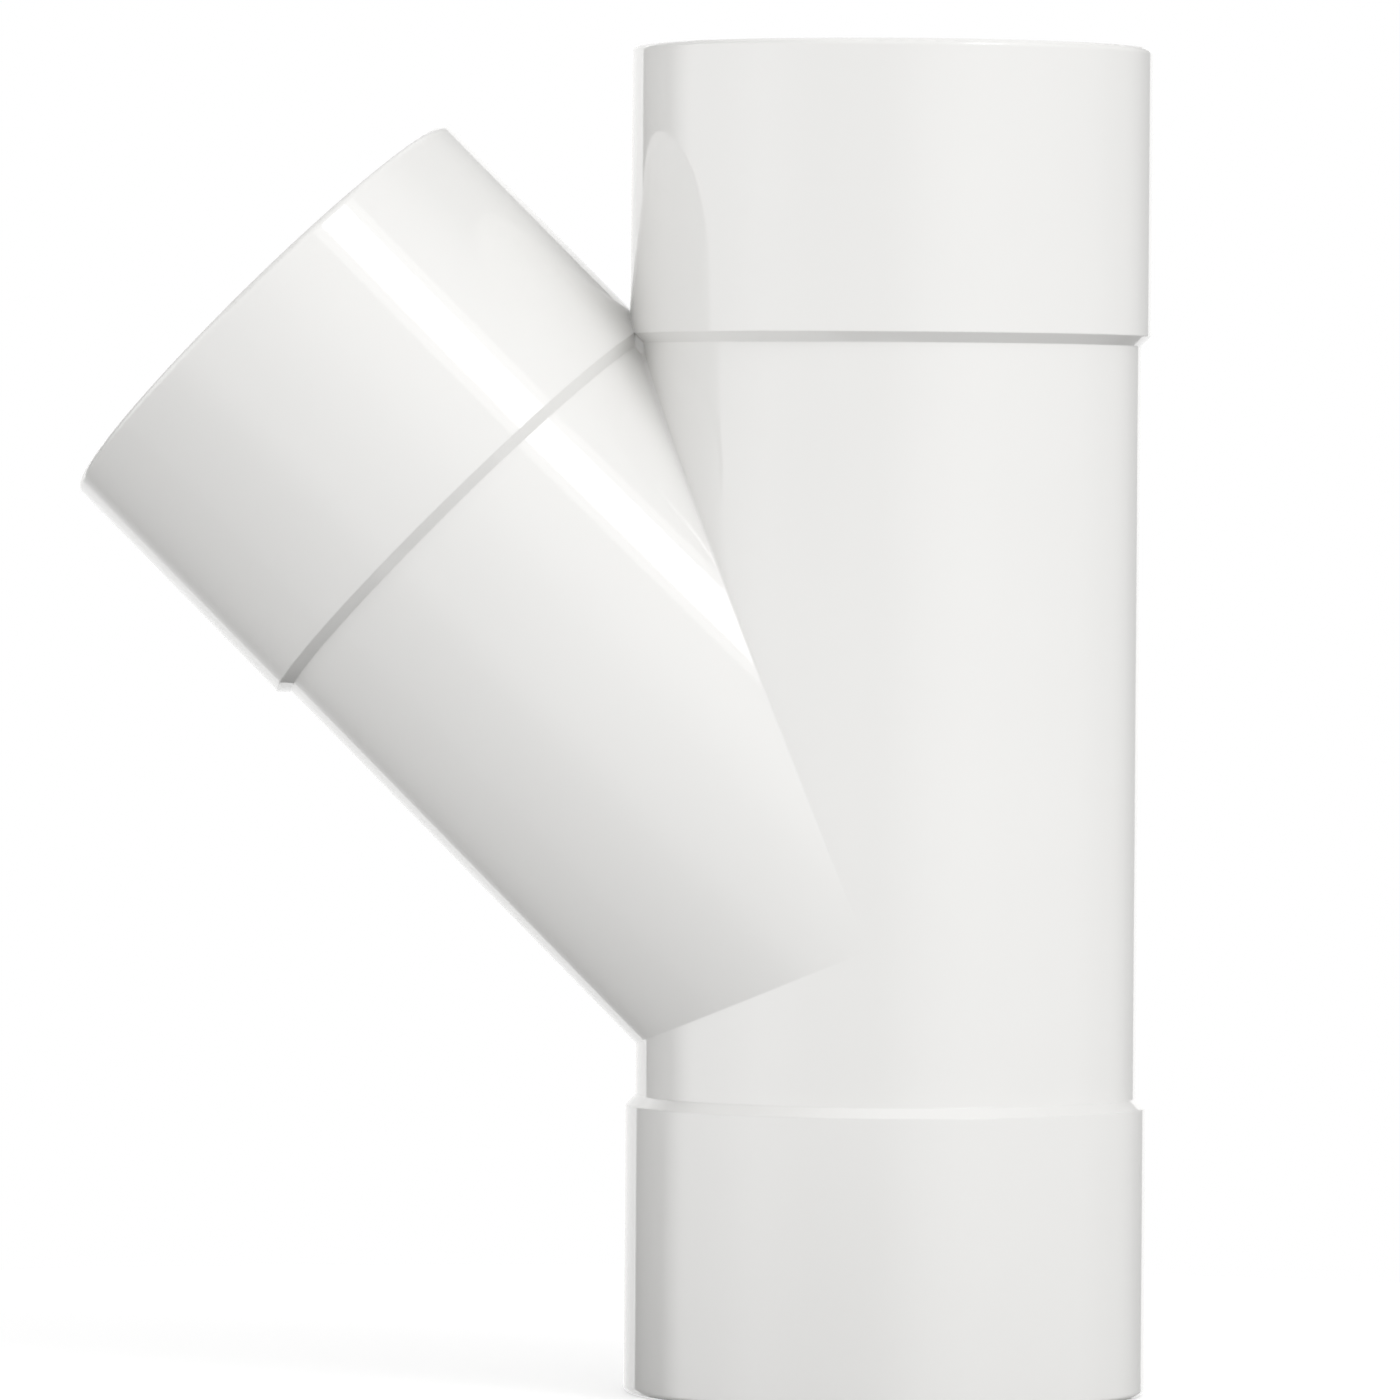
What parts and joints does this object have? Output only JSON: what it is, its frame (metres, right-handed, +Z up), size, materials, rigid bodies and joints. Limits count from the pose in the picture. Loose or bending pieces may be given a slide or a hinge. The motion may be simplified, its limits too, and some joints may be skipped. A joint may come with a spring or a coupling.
{
  "type": "lateral wye fitting",
  "caption": "Moulded wye fitting whose plain sockets join a slanting branch pipe to a straight run of rainwater pipe.",
  "frame": {"origin": "centre of the lower socket's mouth", "axes": "+Z up along the run to the upper mouth; the branch leaves upwards and towards -X, and both axes lie in the XZ plane"},
  "size_m": [0.1723, 0.0836, 0.2154],
  "materials": {
    "white_pvc": "smooth moulded gloss, with the faint ripple of a polished mould"
  },
  "bodies": {
    "root": {"wye_fitting": "white_pvc"}
  },
  "joints": []
}
